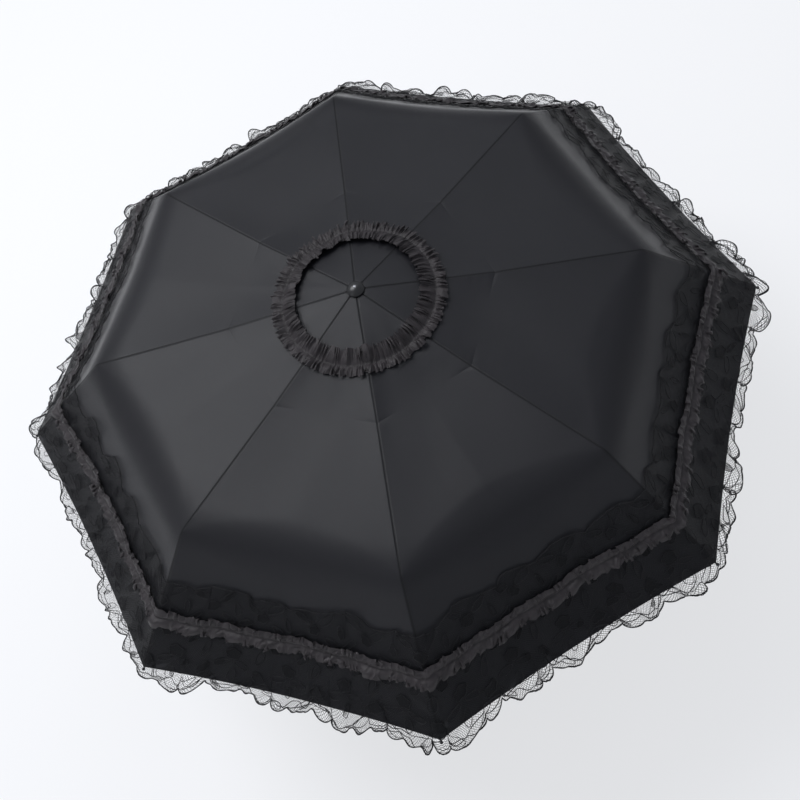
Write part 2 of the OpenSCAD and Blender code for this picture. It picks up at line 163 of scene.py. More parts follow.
def wander(b, seed, low, high, terms=9):
    """A random walk round the parasol that closes on itself: a sum of sine waves with a whole number of
    turns from low to high, random phases, and a mean square of one half."""
    draw = np.random.default_rng(seed)
    turns = draw.integers(low, high + 1, terms)
    phase = draw.uniform(0, 2 * math.pi, terms)
    weight = draw.uniform(0.5, 1, terms)
    wave = np.sin(b[..., None] * turns * TURN + phase)
    return (wave * weight).sum(-1) / math.sqrt((weight ** 2).sum())


def unit(v):
    return v / np.maximum(np.linalg.norm(v, axis=-1, keepdims=True), 1e-12)


class Cover:
    """The outer face of the cloth as a function of b and s. b counts ribs counter-clockwise, so rib i is
    b = 1 - i, and s is the distance down the cover from the crown hole, measured along a rib."""

    ROOF_LEAN = math.radians(7)  # lean of the roof's normal from upright
    HINGE_BEND = (0.004, 0.030)  # reach of the bend at the first fold, on a rib and half way between ribs
    CROWN_BEND = (0.002, 0.004)
    SEAM_ROUND = 0.003  # reach of the rounded ridge over a tip rib
    GROOVE, GROOVE_WIDTH = 0.00055, 0.0009
    PUCKER, PUCKER_STEP, PUCKER_REACH = 0.00016, 0.0105, 0.008
    SLACK = 0.00022
    CREASE, CREASE_WIDTH, CREASE_REACH = 0.0005, 0.0016, 0.022

    def __init__(self, sizes):
        self.z = sizes
        hinge, knee = pivot("mid_fold_1"), pivot("tip_fold_1")
        crown = pivot("top_fold_1")
        tip_low, tip_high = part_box("canopy")
        hem = np.array([tip_high.y, tip_low.z])
        roof = hinge - crown
        up_roof = unit(np.array([-roof[1], roof[0]]))
        brace = knee - hinge
        skirt = hem - knee
        up_knee = unit(unit(np.array([-brace[1], brace[0]])) + unit(np.array([-skirt[1], skirt[0]])))
        lift = np.array([0, sizes.band])
        flat = tip_high.z - sizes.band
        points = [
            np.array([sizes.crown_hole, flat]), np.array([sizes.crown_flat, flat]),
            hinge + sizes.over_hinge * up_roof, knee + sizes.over_knee * up_knee, hem]
        self.corners = np.array([p + lift for p in points])
        steps = np.diff(self.corners, axis=0)
        self.lengths = np.linalg.norm(steps, axis=1)
        self.ways = steps / self.lengths[:, None]
        self.stations = np.concatenate([[0], np.cumsum(self.lengths)])
        self.flat_s, self.hinge_s, self.knee_s, self.hem_s = self.stations[1:]
        self.skirt_len = self.hem_s - self.knee_s

    def radius_station(self, r):
        """The station of radius r on the top panel of a rib."""
        return np.interp(r, self.corners[1:3, 0], self.stations[1:3])

    def profile(self, s, soft):
        """Radius and height: the straight panels' polyline, plus at each corner T m^2 (d2 - d1), which is a
        quadratic curve of length 2T, with m = (T - |s - corner|) / 2T. T grows with soft."""
        s = np.asarray(s, float)
        r = np.interp(s, self.stations, self.corners[:, 0])
        h = np.interp(s, self.stations, self.corners[:, 1])
        past = np.maximum(s - self.hem_s, 0)
        r, h = r + past * self.ways[3, 0], h + past * self.ways[3, 1]
        bends = (self.CROWN_BEND, self.HINGE_BEND, (self.z.knee_sharp, self.z.knee_soft))
        for corner, (sharp, wide) in enumerate(bends, 1):
            reach = sharp + (wide - sharp) * soft
            m = np.maximum(reach - np.abs(s - self.stations[corner]), 0) / (2 * reach)
            turn = self.ways[corner] - self.ways[corner - 1]
            r, h = r + reach * m * m * turn[0], h + reach * m * m * turn[1]
        return r, h

    def plan(self, b):
        """Which rib lies before b, the share t of the way to the next, and g = w(2 - w) for the share w of
        the way from the nearer rib to half way between ribs."""
        k = np.floor(b)
        t = b - k
        w = 2 * np.minimum(t, 1 - t)
        return k, t, w * (2 - w)

    def face(self, b, s):
        """A point of the cloth at rest: a straight chord between two ribs at one station, drawn in by g,
        rounded over each rib, with puckers that die away from the seam."""
        b, s = np.broadcast_arrays(np.asarray(b, float), np.asarray(s, float))
        k, t, g = self.plan(b)
        down = np.maximum(s - self.knee_s, 0) / self.skirt_len
        r, h = self.profile(s - self.z.hem_rise * g * np.minimum(down, 1.2) ** 2, g)
        left, right = math.pi / 2 + TURN * k, math.pi / 2 + TURN * (k + 1)
        x = (1 - t) * np.cos(left) + t * np.cos(right)
        y = (1 - t) * np.sin(left) + t * np.sin(right)
        out = np.stack([x, y], -1)
        point = np.concatenate([out * r[..., None], h[..., None]], -1)
        out = unit(out)
        side = r * CHORD * np.minimum(t, 1 - t)
        skirt = ease(s, self.knee_s - 0.01, self.knee_s + 0.02)
        steep = math.atan2(-self.ways[3, 1], self.ways[3, 0])
        tilt = self.ROOF_LEAN + (steep - self.ROOF_LEAN) * skirt
        normal = np.concatenate([out * np.sin(tilt)[..., None], np.cos(tilt)[..., None]], -1)
        roof = ease(s, 0.02, self.hinge_s) * (1 - 0.35 * ease(s, self.hinge_s + 0.06, self.knee_s))
        hollow = self.z.hollow * skirt * (0.5 + 2 * down * (1 - np.minimum(down, 1)))
        inward = g * (self.z.sag * roof * (1 - skirt) + hollow)
        # the seam: a groove on the roof and a rounded ridge over the tip wire on the skirt
        reach = self.SEAM_ROUND
        ridge = CHORD * reach * (np.maximum(reach - side, 0) / (2 * reach)) ** 2
        groove = self.GROOVE * np.exp(-(side / self.GROOVE_WIDTH) ** 2) * (1 - 0.8 * skirt)
        inward = inward + ridge * skirt + groove
        # puckers beside the seam, whose phase and strength change along it and from seam to seam
        seam = np.where(t < 0.5, k, k + 1)
        which = np.where(t < 0.5, 1.0, -1.0)
        drift = 2.1 * np.sin(s * 61 + seam * 2.3) + seam * 1.7 + which
        pucker = np.sin(s * (2 * math.pi / self.PUCKER_STEP) + drift) * np.exp(-side / self.PUCKER_REACH)
        swell = 0.5 + 0.5 * np.sin(s * 37 + seam * 4.1 + which * 2)
        inward = inward - self.PUCKER * pucker * swell * ease(s, 0.02, 0.05)
        # slow waves of slack cloth
        slack = np.sin(s * 29 + 3 * b * TURN) * np.sin(b * TURN * 13 + s * 9)
        inward = inward - self.SLACK * slack * g * ease(s, 0.03, 0.09)
        # the crease across the rib at the first fold
        fold = np.exp(-((s - self.hinge_s - 0.05 * side) / self.CREASE_WIDTH) ** 2)
        inward = inward + self.CREASE * fold * np.exp(-(side / self.CREASE_REACH) ** 2)
        return point - normal * inward[..., None]

    def normal(self, b, s):
        """The outward normal: the cross product of the face's slopes down the cover and round it."""
        db, ds = 0.0012, 0.0004
        down = self.face(b, s + ds) - self.face(b, s - ds)
        across = self.face(b + db, s) - self.face(b - db, s)
        return unit(np.cross(down, across))

    def place(self, b, s, lift):
        return self.face(b, s) + self.normal(b, s) * np.asarray(lift)[..., None]


# ---------------------------------------------------------------- meshes

def grid_normals(p):
    """Normals of a grid of points: the cross product of its slopes along both ways."""
    return unit(np.cross(np.gradient(p, axis=0), np.gradient(p, axis=1)))


def make_mesh(name, points, faces, uv=None, marks=None, sharp=None):
    """A mesh object from point and quad arrays, smooth, with its own map, point marks and sharp edges."""
    mesh = bpy.data.meshes.new(name)
    points = np.ascontiguousarray(points, np.float32).reshape(-1, 3)
    faces = np.ascontiguousarray(faces, np.int32).reshape(-1, 4)
    mesh.vertices.add(len(points))
    mesh.vertices.foreach_set("co", points.ravel())
    mesh.loops.add(faces.size)
    mesh.loops.foreach_set("vertex_index", faces.ravel())
    mesh.polygons.add(len(faces))
    mesh.polygons.foreach_set("loop_start", np.arange(0, faces.size, 4, dtype=np.int32))
    mesh.update(calc_edges=True)
    mesh.polygons.foreach_set("use_smooth", np.ones(len(faces), bool))
    if uv is not None:
        layer = mesh.uv_layers.new(name="Cloth")
        layer.uv.foreach_set("vector", np.ascontiguousarray(
            uv.reshape(-1, 2)[faces.ravel()], np.float32).ravel())
    for key, values in (marks or {}).items():
        mesh.attributes.new(key, "FLOAT", "POINT").data.foreach_set(
            "value", np.ascontiguousarray(values, np.float32).ravel())
    if sharp is not None:
        ends = np.empty(len(mesh.edges) * 2, np.int32)
        mesh.edges.foreach_get("vertices", ends)
        ends = sharp[ends.reshape(-1, 2)]
        on = (ends[:, 0] > 0) & (ends[:, 0] == ends[:, 1])
        mesh.attributes.new("sharp_edge", "BOOLEAN", "EDGE").data.foreach_set("value", on)
    mesh.validate()
    thing = bpy.data.objects.new(name, mesh)
    bpy.context.scene.collection.objects.link(thing)
    return thing


def shell(name, outer, normals, thickness, uv, marks=None):
    """A closed sheet: the outer grid, the same grid moved inwards by the thickness, and a rim between
    them."""
    m, n = outer.shape[:2]
    index = np.arange(m * n).reshape(m, n)
    a, b, c, d = index[:-1, :-1], index[1:, :-1], index[1:, 1:], index[:-1, 1:]
    top = np.stack([a, b, c, d], -1).reshape(-1, 4)
    under = top[:, ::-1] + m * n
    border = np.concatenate([index[0, ::-1], index[1:, 0], index[-1, 1:], index[-2::-1, -1]])
    step = np.roll(border, -1)
    rim = np.stack([step, border, border + m * n, step + m * n], -1)
    edge = np.zeros(2 * m * n, np.int8)
    edge[border], edge[border + m * n] = 1, 2
    double = {k: np.concatenate([v.ravel(), v.ravel()]) for k, v in (marks or {}).items()}
    points = np.concatenate([outer.reshape(-1, 3), (outer - normals * thickness).reshape(-1, 3)])
    both = np.concatenate([uv.reshape(-1, 2)] * 2)
    return make_mesh(name, points, np.concatenate([top, under, rim]), both, double, edge)


def tubes(centre, normal, wide, high, closed):
    """Cords: each row of centre is a path, carried round with a four-cornered section that is wide across
    the path and high along the surface's normal."""
    ahead = np.roll(centre, -1, 1) - np.roll(centre, 1, 1)
    if not closed:
        ahead[:, 0], ahead[:, -1] = centre[:, 1] - centre[:, 0], centre[:, -1] - centre[:, -2]
    side = unit(np.cross(normal, unit(ahead))) * (wide / 2)
    up = unit(normal) * (high / 2)
    ring = np.stack([centre + side, centre + up, centre - side, centre - up], 2)
    rows, count = centre.shape[:2]
    index = np.arange(rows * count * 4).reshape(rows, count, 4)
    near = index if closed else index[:, :-1]
    far = np.roll(index, -1, 1) if closed else index[:, 1:]
    faces = np.stack([near, np.roll(near, -1, 2), np.roll(far, -1, 2), far], -1).reshape(-1, 4)[:, ::-1]
    if not closed:
        faces = np.concatenate([faces, index[:, 0], index[:, -1, ::-1]])
    return ring.reshape(-1, 3), faces


def fold_away(thing, body):
    """The piece rides on a rib: it gets a mesh of its own and is parented to that rib's body."""
    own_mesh(thing)
    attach(thing, body)


def across_rib(i, half_width, cells):
    """Values of b from half way on one side of rib i to half way on the other, close together at the seam.
    half_width is the distance between those two middles and the rib, in metres."""
    close = [0.0, 0.0004, 0.0008, 0.0013, 0.002, 0.003, 0.0045, 0.0065, 0.009, 0.012, 0.0155]
    near = np.array(close) / half_width
    half = np.concatenate([near[:-1], np.linspace(near[-1], 1, cells)])
    return (1 - i) + 0.5 * np.concatenate([-half[:0:-1], half])


# ---------------------------------------------------------------- materials

class Wire:
    """A shader socket that can be used in sums. Each operator adds the Math node it stands for."""

    def __init__(self, graph, socket):
        self.graph, self.socket = graph, socket

    def calc(self, operation, *others):
        values = dict(enumerate((self, *others)))
        return self.graph.node("ShaderNodeMath", {"operation": operation}, values)

    def __add__(self, other): return self.calc("ADD", other)
    def __radd__(self, other): return self.calc("ADD", other)
    def __mul__(self, other): return self.calc("MULTIPLY", other)
    def __rmul__(self, other): return self.calc("MULTIPLY", other)
    def __sub__(self, other): return self.calc("SUBTRACT", other)
    def __gt__(self, other): return self.calc("GREATER_THAN", other)
    def __lt__(self, other): return self.calc("LESS_THAN", other)
    def __neg__(self): return self.calc("MULTIPLY", -1.0)
    def __rsub__(self, other): return (-self) + other

    def sin(self): return self.calc("SINE")
    def abs(self): return self.calc("ABSOLUTE")
    def fract(self): return self.calc("FRACT")
    def most(self, other): return self.calc("MAXIMUM", other)
    def least(self, other): return self.calc("MINIMUM", other)

    def ramp(self, low, high):
        """0 below low, 1 above high, smooth between."""
        return self.graph.node("ShaderNodeMapRange", {"interpolation_type": "SMOOTHSTEP"},
                               {0: self, 1: low, 2: high, 3: 0.0, 4: 1.0})


def shaded(tone, share):
    """A colour made darker or lighter."""
    return tuple(min(1, c * share) for c in tone)


def wave(at, length):
    """A sine wave of one turn per length."""
    return (at * (2 * math.pi / length)).sin()


def teeth(at, length):
    """A triangle wave: 1 where each length starts and 0 half way along it."""
    return ((at * (1 / length)).fract() - 0.5).abs() * 2


class Finish:
    """One procedural material."""

    def __init__(self, name):
        self.material = bpy.data.materials.new(name)
        self.material.use_nodes = True
        self.tree = self.material.node_tree
        self.tree.nodes.clear()

    def node(self, kind, settings=None, values=None, out=0):
        """Adds a node: its settings first, then its sockets' values or links."""
        new = self.tree.nodes.new(kind)
        for key, value in (settings or {}).items():
            setattr(new, key, value)
        for key, value in (values or {}).items():
            if isinstance(value, Wire):
                self.tree.links.new(value.socket, new.inputs[key])
            else:
                new.inputs[key].default_value = value
        return Wire(self, new.outputs[out]) if new.outputs else None

    def place(self):
        return self.node("ShaderNodeTexCoord", out="Object")

    def parts(self, vector):
        split = self.node("ShaderNodeSeparateXYZ", None, {0: vector}).socket.node
        return [Wire(self, split.outputs[k]) for k in range(3)]

    def mark(self, name):
        return self.node("ShaderNodeAttribute", {"attribute_name": name}, out="Fac")

    def noise(self, at, scale, detail=3.0, rough=0.5):
        return self.node("ShaderNodeTexNoise", None,
                         {"Vector": at, "Scale": scale, "Detail": detail, "Roughness": rough})

    def mix(self, share, a, b):
        """Colour a to colour b by share."""
        a, b = (c if isinstance(c, Wire) else (*c, 1) for c in (a, b))
        return self.node("ShaderNodeMix", {"data_type": "RGBA"}, {0: share, 6: a, 7: b}, 2)

    def bump(self, height, strength, distance):
        return self.node("ShaderNodeBump", None,
                         {"Height": height, "Strength": strength, "Distance": distance})

    def stretched(self, at, scale):
        return self.node("ShaderNodeMapping", None, {"Vector": at, "Scale": scale})

    def surface(self, **values):
        shader = self.node("ShaderNodeBsdfPrincipled", None,
                           {k.replace("_", " "): v for k, v in values.items()})
        self.node("ShaderNodeOutputMaterial", None, {"Surface": shader})
        return self.material


WEAVE = 0.0006  # from one thread of the cloth to the next but one
NET_MESH = 0.0021  # from one thread of the net to the next
STITCH_ROW = 0.0011  # from one row of stitches in a figure to the next
CORD_TWIST = 0.0011


def cloth_finish(tone, knee):
    """Coated cloth with a soft sheen: a fine plain weave, faint clouding, and stitched seams with painted
    shade: the colour goes nearly black along each seam to stand in for the shadow in its groove. The map
    holds the distance across from the seam and the distance down, in metres. The coating is duller where the
    cloth bends over the knee, at that distance down."""
    f = Finish("coated_cloth")
    u, v, _ = f.parts(f.node("ShaderNodeUVMap", {"uv_map": "Cloth"}))
    at = f.place()
    cloud = f.noise(at, 9.0, 4.0, 0.55)
    streak = f.noise(f.stretched(at, (1.0, 1.0, 0.3)), 70.0, 3.0, 0.6)
    away = u.abs()
    seam = 1 - away.ramp(0.0007, 0.0017)
    stitch = ((v * 400.0).fract() > 0.35) * ((away - 0.0022).abs() < 0.0003)
    shade = (cloud - 0.5) * 0.5 + (streak - 0.5) * 0.16
    base = f.mix((shade + 0.5).least(1.0).most(0.0), shaded(tone, 0.7), shaded(tone, 1.35))
    # painted shade: the base colour goes nearly black along the seam, standing in for the shadow in the
    # seam's groove
    base = f.mix(seam * 0.85, base, (0.004, 0.004, 0.005))
    base = f.mix(stitch * 0.5, base, shaded(tone, 0.45))
    weave = wave(u, WEAVE) * wave(v, WEAVE)
    bend = 1 - (v - knee).abs().ramp(0.006, 0.040)
    rough = 0.34 + (cloud - 0.5) * 0.12 + (streak - 0.5) * 0.10 + (seam * 0.2).most(bend * 0.34)
    height = weave * 0.35 + streak * 0.9 + cloud * 0.6 - seam * 0.8 - stitch * 0.6
    return f.surface(Base_Color=base, Roughness=rough, Specular_IOR_Level=0.27,
                     Normal=f.bump(height, 0.25, 0.0004))


def ribbon_finish(tone):
    """Thin gathered taffeta: a fine rib across the ribbon, soft clouding, and painted shade along the
    stitched gather line.
    """
    f = Finish("ribbon")
    u, v, _ = f.parts(f.node("ShaderNodeUVMap", {"uv_map": "Cloth"}))
    at = f.place()
    cloud = f.noise(at, 60.0, 3.0, 0.6)
    grain = wave(u, 0.0008) * 0.5 + wave(v, WEAVE) * 0.3
    stitch = f.mark("stitch").ramp(0.4, 1.0)
    base = f.mix(cloud.ramp(0.3, 0.7), shaded(tone, 0.72), shaded(tone, 1.25))
    # painted shade: the colour goes nearly black along the stitched gather line, standing in for the shade in
    # the pinch there as well as the stitching
    base = f.mix(stitch * 0.7, base, (0.003, 0.003, 0.003))
    return f.surface(Base_Color=base, Roughness=0.50 + (cloud - 0.5) * 0.2, Specular_IOR_Level=0.40,
                     Sheen_Weight=0.06, Sheen_Roughness=0.4,
                     Normal=f.bump(grain * 0.5 + cloud, 0.3, 0.0004))


def lace_finish(tone):
    """Net with closely worked figures. The mark called worked says how close the stitches are; the net is two
    sets of crossing threads in the piece's own map."""
    f = Finish("lace_net")
    u, v, _ = f.parts(f.node("ShaderNodeUVMap", {"uv_map": "Cloth"}))
    worked = f.mark("worked")
    net = teeth(u + v * 0.6, NET_MESH).most(teeth(u - v * 0.6, NET_MESH)).ramp(0.87, 0.92)
    rows = teeth(u * 0.35 + v, STITCH_ROW).ramp(0.60, 0.70)
    fill = worked.ramp(0.25, 0.6)
    cover = net.most(rows * fill)
    at = f.place()
    cloud = f.noise(at, 40.0, 3.0, 0.6)
    base = f.mix(cloud, shaded(tone, 0.8), shaded(tone, 1.4))
    return f.surface(Base_Color=base, Roughness=0.75 + (cloud - 0.5) * 0.2, Alpha=cover,
                     Specular_IOR_Level=0.22, Sheen_Weight=0.03,
                     Normal=f.bump(rows * fill + net, 0.5, 0.0004))


def thread_finish(tone):
    """Twisted cord: a fine slanted twist in roughness and height."""
    f = Finish("lace_cord")
    x, y, z = f.parts(f.place())
    twist = wave(x + y + z * 1.3, CORD_TWIST)
    cloud = f.noise(f.place(), 90.0, 2.0, 0.5)
    base = f.mix(cloud, shaded(tone, 0.7), shaded(tone, 1.6))
    return f.surface(Base_Color=base, Roughness=0.6 + twist * 0.08, Specular_IOR_Level=0.25,
                     Normal=f.bump(twist, 0.4, 0.0002))


def metal_finish(name, tone, rough, grain, metal=1.0):
    """Drawn or plated steel: long fine scratches, a little clouding, and duller spots."""
    f = Finish(name)
    at = f.place()
    scratch = f.noise(f.stretched(at, grain), 300.0, 4.0, 0.6)
    cloud = f.noise(at, 22.0, 3.0, 0.55)
    spots = f.noise(at, 240.0, 2.0, 0.5).ramp(0.62, 0.74)
    base = f.mix(cloud, shaded(tone, 0.86), tone)
    base = f.mix(spots * 0.35, base, shaded(tone, 0.55))
    return f.surface(Base_Color=base, Metallic=metal, Roughness=rough + (scratch - 0.5) * 0.2 + spots * 0.15,
                     Normal=f.bump(scratch * 0.7 + cloud * 0.3, 0.12, 0.0002))


def plastic_finish(name, tone, rough, pebble, depth, coat=0.0):
    """Moulded plastic: a fine pebbled skin with slight clouding and rubbed patches."""
    f = Finish(name)
    at = f.place()
    skin = f.node("ShaderNodeTexVoronoi", {"feature": "SMOOTH_F1"}, {"Vector": at, "Scale": pebble})
    cloud = f.noise(at, 30.0, 4.0, 0.6)
    rubbed = cloud.ramp(0.55, 0.75)
    base = f.mix(cloud, shaded(tone, 0.85), shaded(tone, 1.15))
    return f.surface(Base_Color=base, Roughness=rough + (cloud - 0.5) * 0.12 - rubbed * 0.06,
                     Specular_IOR_Level=0.5, Coat_Weight=coat, Coat_Roughness=0.12,
                     Normal=f.bump(skin * depth + cloud * 0.2, 0.2, 0.0003))


def floor_finish(tone, glow):
    """Plain matt lit floor with a trace of mottling."""
    f = Finish("backdrop")
    cloud = f.noise(f.place(), 1.3, 2.0, 0.5)
    base = f.mix(cloud, shaded(tone, 0.99), shaded(tone, 1.01))
    return f.surface(Base_Color=base, Roughness=0.9, Specular_IOR_Level=0.1,
                     Emission_Color=(0.985, 0.99, 1.0, 1), Emission_Strength=glow)


def wear(thing, material):
    """Gives a new piece its material."""
    thing.data.materials.append(material)
    return thing


# ---------------------------------------------------------------- pieces

class Lace:
    """The gathered band as a function of b and t, with t = 0 on its upper edge and 1 on its lower edge."""

    HELD = 0.0009  # height of the band's held line above the cloth
    UPPER, LOWER, FREE = 0.0016, 0.0024, 0.0065  # ruffle above the held line, below it and past the hem
    SWAY, RAGGED = 0.0045, 0.0028  # slow and quick lift of the free edge
    DROP, NIBBLE = 0.0035, 0.0016  # slow and quick fall of the free edge
    CRUMPLE = 0.0008
    SLIDE_UP, SLIDE_LOW = 0.009, 0.010  # sideways slide of the folds, as a share of a gore
    WAVES_UP, WAVES_LOW = 9, 10  # ruffles a gore
    LAST = 0.028  # length of the skirt over which the lace works loose before the hem

    def __init__(self, cover, sizes):
        self.cover, self.z = cover, sizes
        self.per = sizes.scallops / RIBS
        self.end = cover.skirt_len + sizes.over
        self.height = self.end - sizes.start
        self.side = CHORD * float(cover.corners[4, 0])
        self.pitch = self.side / self.per

    def lobe(self, b, seed, shift=0.0):
        """Scallop outline, 1 on a lobe's crown and 0 in the notch: |sin| of the count to the power 0.8, with
        the count itself wandering so that no two lobes are the same length."""
        return np.abs(np.sin(math.pi * (b * self.per + shift + 0.13 * wander(b, seed, 5, 26)))) ** 0.8

    def edges(self, b):
        """Distances below the knee of the upper and lower edges."""
        reach = np.clip(0.80 + 0.30 * wander(b, 43, 7, 34), 0.30, 1.05)
        top = self.z.start + 0.009 * (1 - self.lobe(b, 44, 0.31)) + 0.005 * wander(b, 41, 9, 42)
        return top, self.end - self.z.notch * (1 - self.lobe(b, 45) * reach)

    def point(self, b, t, proud=0.0):
        """The band at rest. It lies on the cloth, is held down at the gather line, and from there each free
        edge ruffles: lift = base + amplitude (1 + cos phase) / 2, and the cloth slides sideways with sin
        phase."""
        cover, gather = self.cover, self.z.gather
        top, low = self.edges(b)
        v = top + t * (low - top)
        upper = ease(gather - v, 0.0, gather - self.z.start)
        lower = ease(v - gather, 0.0, self.end - gather)
        beyond = ease(v, cover.skirt_len - self.LAST, self.end)
        phase_up = 2 * math.pi * b * self.WAVES_UP + 1.6 * wander(b, 51, 11, 60, 12)
        phase_low = 2 * math.pi * b * self.WAVES_LOW + 1.7 * wander(b, 52, 13, 70, 12)
        size = 0.75 + 0.45 * wander(b, 53, 7, 33)
        lift = self.HELD + self.UPPER * upper * size * (1 + np.cos(phase_up)) / 2
        lift = lift + lower * size * (self.LOWER + self.FREE * beyond) * (1 + np.cos(phase_low)) / 2
        lift = lift + beyond * self.SWAY * size * np.cos(phase_low * 0.5 + 1.0)
        lift = lift + beyond * self.RAGGED * wander(b + 0.5 * t, 58, 50, 170, 12)
        crumple = self.CRUMPLE * wander(b + 0.4 * t, 57, 60, 190, 14) * (0.3 + upper + lower)
        slide = self.SLIDE_UP * upper * np.sin(phase_up + 0.7)
        slide = slide + self.SLIDE_LOW * lower * np.sin(phase_low + 0.5)
        nibble = self.NIBBLE * wander(b + 0.3 * t, 59, 50, 170, 12)
        fall = beyond * (self.DROP * np.cos(phase_low + 1.3) + nibble)
        return cover.place(b + slide, cover.knee_s + v + fall, lift + np.abs(crumple) + proud)

    def figures(self):
        """Outlines of the worked figures in one repeat, as (centre across, centre up, half length, half
        width, tilt, petals). Across runs from -0.5 to 0.5 repeats and up from the lower edge in metres."""
        side = [(-0.22, 0.0120, 0.0125, 0.0042, 0.62, 0), (0.24, 0.0130, 0.0135, 0.0046, -0.70, 0),
                (0.0, 0.0300, 0.0085, 0.0085, 0.0, 5), (0.5, 0.0280, 0.0095, 0.0042, 1.45, 0),
                (-0.33, 0.0440, 0.0110, 0.0042, -0.5, 0), (0.33, 0.0440, 0.0110, 0.0042, 0.5, 0)]
        rest = [(0.5, 0.0610, 0.0095, 0.0095, 0.3, 5), (0.0, 0.0620, 0.0130, 0.0046, 1.3, 0),
                (-0.2, 0.0820, 0.0120, 0.0046, 0.6, 0), (0.25, 0.0860, 0.0080, 0.0080, 0.6, 5)]
        mirror = [(x, self.height - y, long, wide, -tilt, petals) for x, y, long, wide, tilt, petals in side]
        return side + rest + mirror

    def outline(self, figure, angle):
        """A figure's edge in metres across and up: an ellipse, or a ring whose radius swells into petals."""
        x, y, long, wide, tilt, petals = figure
        swell = self.swell(angle, petals)
        p, q = long * swell * np.cos(angle), wide * swell * np.sin(angle)
        return (x * self.pitch + p * math.cos(tilt) - q * math.sin(tilt),
                y + p * math.sin(tilt) + q * math.cos(tilt))

    def swell(self, angle, petals):
        """Radius of a flower as a share of its largest: 0.74 + 0.26 |cos(angle petals / 2)|. 1 for a leaf."""
        return 0.74 + 0.26 * np.abs(np.cos(angle * petals / 2)) if petals else 1

    def worked(self, b, t):
        """How closely the net is worked: 1 inside a flower and along both borders, and a patch here and there
        inside the leaves."""
        up = (1 - t) * self.height
        across = ((b * self.per + 0.5) % 1 - 0.5) * self.pitch
        patch = ease(wander(b, 61, 30, 90) + 0.5 * wander(b + t, 62, 20, 60), 0.5, 1.0)
        full = np.zeros_like(up)
        for x, y, long, wide, tilt, petals in self.figures():
            for repeat in (-1, 0, 1):
                dx, dy = across - (x + repeat) * self.pitch, up - y
                p = dx * math.cos(tilt) + dy * math.sin(tilt)
                q = -dx * math.sin(tilt) + dy * math.cos(tilt)
                swell = self.swell(np.arctan2(q, p), petals)
                inside = 1 - ease(np.hypot(p / long, q / wide) / swell, 0.85, 1.1)
                full = np.maximum(full, inside * (1 if petals else patch))
        border = 1 - ease(np.minimum(up, self.height - up), 0.0006, 0.0016)
        return np.maximum(full, border)


class PARASOL_OT_cover(bpy.types.Operator):
    """Cloth cover: for each rib, a roof, a brace and a skirt panel, each from half way on one side of the rib
    to half way on the other"""
    bl_idname = "parasol.cover"
    bl_label = "Cloth cover"

    def execute(self, context):
        z = context.scene.parasol_cover
        cover = Cover(z)
        material = cloth_finish(tuple(z.colour), cover.knee_s)
        knee, near = cover.knee_s, np.array([0.0006, 0.0015, 0.003, 0.005, 0.008, 0.012, 0.017])
        parts = (
            ("canopy_top", "top_rib", 14, np.concatenate(
                [np.linspace(0, cover.flat_s, 4), np.linspace(cover.flat_s, cover.hinge_s, 46)[1:]])),
            ("canopy_mid", "mid_rib", 30, np.concatenate(
                [np.linspace(cover.hinge_s, knee - 0.022, 46), knee - near[::-1], [knee]])),
            ("canopy_tip", "tip_rib", 40, np.concatenate(
                [[knee], knee + near, np.linspace(knee + 0.022, cover.hem_s, 52)])))
        for i in range(1, RIBS + 1):
            for name, body, cells, s in parts:
                half = CHORD * float(np.interp(s[-1], cover.stations, cover.corners[:, 0])) / 2
                b = across_rib(i, half, cells)
                bb, ss = np.meshgrid(b, s)
                outer, normals = cover.face(bb, ss), cover.normal(bb, ss)
                side = CHORD * np.interp(ss, cover.stations, cover.corners[:, 0])
                uv = np.stack([side * (bb - (1 - i)), ss], -1)
                piece = shell(f"{name}_{i}", outer, normals, z.thickness, uv)
                wear(piece, material)
                fold_away(piece, f"{body}_{i}")
                if i == 1 and name == "canopy_top":
                    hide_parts("canopy")
        return {"FINISHED"}


RIBBON_HELD, RIBBON_LEAST = 0.0008, 0.0005  # height of the stitched line, and the least height anywhere
RIBBON_BODY, RIBBON_CRUMPLE = 0.0018, 0.0008  # rise of the ribbon off its stitched line, and fine crumples
RIBBON_SCALLOP, RIBBON_RAGGED = 0.0042, 0.0012  # how far puffs and chance move the edges


